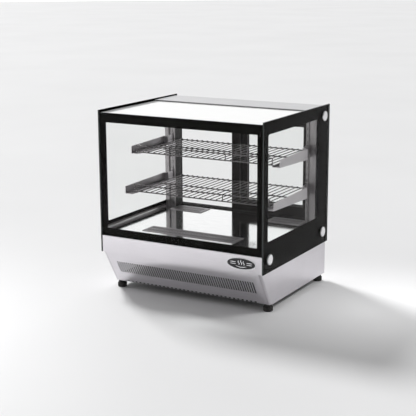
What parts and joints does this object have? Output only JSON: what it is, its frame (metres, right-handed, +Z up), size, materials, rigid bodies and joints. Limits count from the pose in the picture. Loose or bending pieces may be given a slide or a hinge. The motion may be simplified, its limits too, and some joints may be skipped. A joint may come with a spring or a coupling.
{
  "type": "hot food display case",
  "caption": "Countertop heated display case with glass sides and front, wire shelves on brackets, sliding rear doors and a vented stainless base.",
  "frame": {"origin": "on the counter, under the middle of the case", "axes": "+Z up, +Y to the rear sliding doors, +X to the customer's right"},
  "size_m": [0.712, 0.568, 0.714],
  "materials": {
    "stainless": "brushed stainless steel sheet",
    "mirror_steel": "polished stainless steel deck",
    "grey_metal": "satin grey steel vent cover",
    "glass": "clear tempered glass",
    "black_print": "black ceramic print on the back of the glass",
    "white_glass": "white back-painted tempered glass",
    "black_rubber": "matt black rubber",
    "black_metal": "satin black powder coat",
    "black_track": "black anodised track",
    "zinc_bracket": "satin steel bracket",
    "wire_chrome": "chromed steel wire",
    "door_frame": "satin black anodised door frame",
    "pull_metal": "satin anodised finger pull",
    "nylon": "natural nylon glide",
    "cap_chrome": "satin stainless cap",
    "zinc_stud": "bright zinc plate",
    "lamp_white": "white enamelled reflector",
    "lamp_tube": "frosted tube, lit",
    "badge_black": "black badge with a silver rim",
    "galvanised": "galvanised sheet with spangle",
    "element_steel": "heat-tinted steel",
    "fan_metal": "black die-cast fan frame",
    "fan_plastic": "heat-resistant black plastic",
    "control_plastic": "black moulded plastic",
    "button_grey": "grey keypad button",
    "rocker_plastic": "black rocker",
    "gland_nylon": "black nylon gland"
  },
  "bodies": {
    "cabinet": {"base_pan": "galvanised", "front_fascia": "stainless", "base_side_left": "stainless", "base_side_right": "stainless", "base_rear_panel": "stainless", "deck": "mirror_steel", "vent_covers": "grey_metal", "side_glass_left": "glass", "side_glass_right": "glass", "side_border_left": "black_print", "side_border_right": "black_print", "front_glass": "glass", "front_border": "black_print", "top_glass": "white_glass", "top_rear_panel": "stainless", "top_gasket": "black_rubber", "front_corner_posts": "black_metal", "top_side_rails": "black_metal", "front_top_rail": "black_metal", "top_cross_rail": "black_metal", "rear_post_left": "black_metal", "rear_post_right": "black_metal", "rear_header": "black_metal", "door_track_bottom": "black_track", "door_track_top": "black_track", "pilaster_left": "stainless", "pilaster_right": "stainless", "upper_brackets": "zinc_bracket", "lower_brackets": "zinc_bracket", "glass_caps": "cap_chrome", "glass_cap_studs": "zinc_stud", "feet": "black_rubber", "foot_studs": "zinc_stud", "lamp_housing": "lamp_white", "led_tube": "lamp_tube", "badge": "badge_black", "heating_element": "element_steel", "fan_frame": "fan_metal", "hot_air_duct": "galvanised", "control_box": "galvanised", "controller": "control_plastic", "switch_housings": "control_plastic", "cable_gland": "gland_nylon", "temperature_probe": "element_steel"},
    "left_door": {"door_left_frame": "door_frame", "door_left_glass": "glass", "door_left_pull": "pull_metal", "door_left_glides": "nylon"},
    "right_door": {"door_right_frame": "door_frame", "door_right_glass": "glass", "door_right_pull": "pull_metal", "door_right_glides": "nylon"},
    "upper_shelf": {"shelf_upper": "wire_chrome"},
    "lower_shelf": {"shelf_lower": "wire_chrome"},
    "fan": {"fan_rotor": "fan_plastic"},
    "power_switch": {"power_rocker": "rocker_plastic"},
    "light_switch": {"light_rocker": "rocker_plastic"},
    "set_button": {"button_set": "button_grey"},
    "up_button": {"button_up": "button_grey"},
    "down_button": {"button_down": "button_grey"}
  },
  "joints": [
    {"name": "left_door_slide", "type": "slide", "parent": "cabinet", "child": "left_door", "axis": [-1, 0, 0], "range_m": [-0.027, 0.265]},
    {"name": "right_door_slide", "type": "slide", "parent": "cabinet", "child": "right_door", "axis": [-1, 0, 0], "range_m": [0, 0.292]},
    {"name": "upper_shelf_lift", "type": "slide", "parent": "cabinet", "child": "upper_shelf", "axis": [0, 0, 1], "range_m": [0, 0.02]},
    {"name": "lower_shelf_lift", "type": "slide", "parent": "cabinet", "child": "lower_shelf", "axis": [0, 0, 1], "range_m": [0, 0.02]},
    {"name": "fan_spin", "type": "hinge", "parent": "cabinet", "child": "fan", "pos_m": [0, 0.04, 0.179], "axis": [0, 1, 0], "continuous": true},
    {"name": "power_rock", "type": "hinge", "parent": "cabinet", "child": "power_switch", "pos_m": [0.06, 0.2705, 0.15], "axis": [1, 0, 0], "range_deg": [-24, 0]},
    {"name": "light_rock", "type": "hinge", "parent": "cabinet", "child": "light_switch", "pos_m": [0.02, 0.2705, 0.15], "axis": [1, 0, 0], "range_deg": [-24, 0]},
    {"name": "set_press", "type": "slide", "parent": "cabinet", "child": "set_button", "axis": [0, -1, 0], "range_m": [0, 0.001], "stiffness_N_per_m": 400},
    {"name": "up_press", "type": "slide", "parent": "cabinet", "child": "up_button", "axis": [0, -1, 0], "range_m": [0, 0.001], "stiffness_N_per_m": 400},
    {"name": "down_press", "type": "slide", "parent": "cabinet", "child": "down_button", "axis": [0, -1, 0], "range_m": [0, 0.001], "stiffness_N_per_m": 400}
  ]
}
